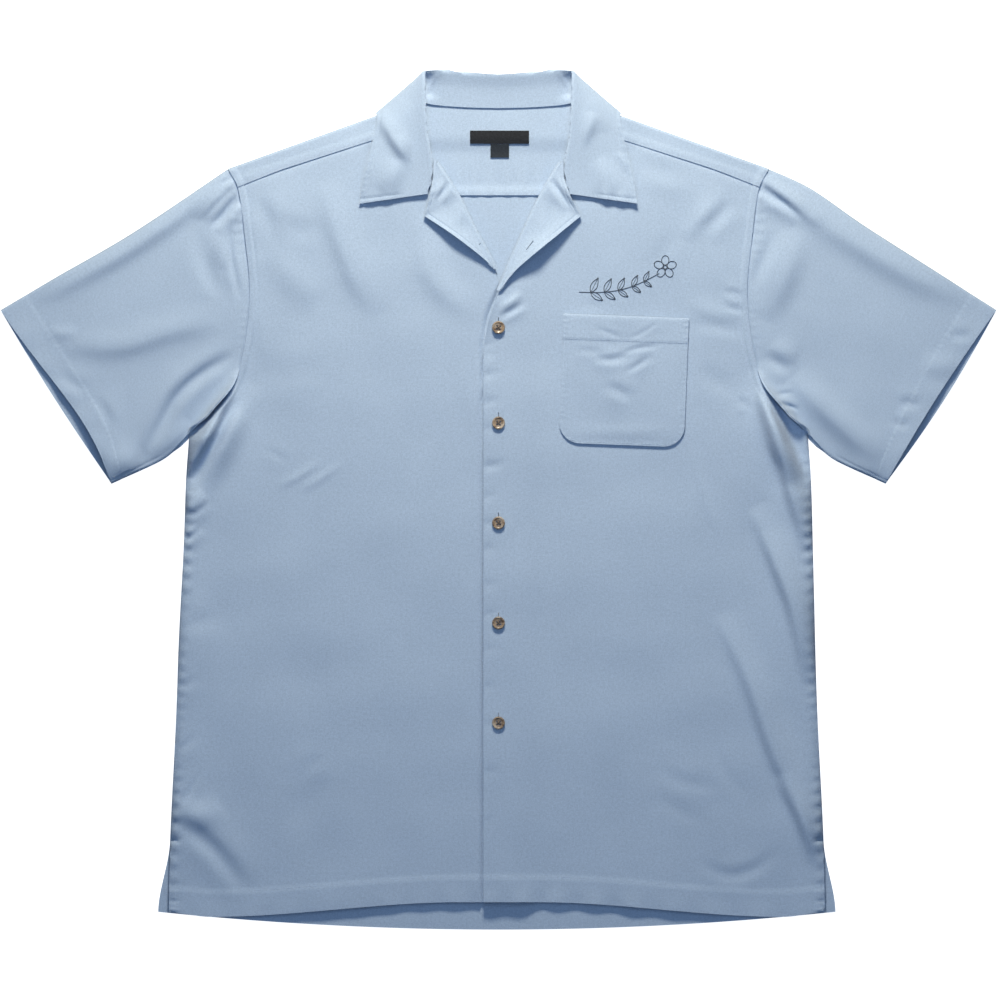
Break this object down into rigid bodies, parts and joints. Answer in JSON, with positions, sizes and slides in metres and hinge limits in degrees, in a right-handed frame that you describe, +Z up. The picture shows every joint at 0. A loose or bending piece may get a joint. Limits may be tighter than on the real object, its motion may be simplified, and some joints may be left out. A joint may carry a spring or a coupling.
{
  "type": "camp shirt",
  "caption": "Short-sleeved camp shirt laid flat, front up and buttoned, with an open notched collar, a yoke, side vents and a patch pocket on the chest.",
  "frame": {"origin": "under the middle of the shirt's outline, on the surface that it lies on", "axes": "+X towards the wearer's left sleeve (the side with the pocket), +Y from the hem to the collar, +Z up from the surface to the front of the shirt"},
  "size_m": [0.9566, 0.8258, 0.0166],
  "materials": {
    "cloth": "soft matt twill, light blue",
    "label": "woven satin label, dark, without lettering",
    "tab": "woven tab, dark, without lettering",
    "horn": "semi-gloss horn-coloured plastic, mottled tan and brown"
  },
  "bodies": {
    "root": {"back_panel": "cloth", "back_yoke": "cloth", "front_right": "cloth", "front_left": "cloth", "facing_right": "cloth", "facing_left": "cloth", "collar": "cloth", "sleeve_right": "cloth", "sleeve_left": "cloth", "pocket": "cloth", "neck_label": "label", "size_tab": "tab", "button_1": "horn", "button_2": "horn", "button_3": "horn", "button_4": "horn", "button_5": "horn"}
  },
  "joints": []
}
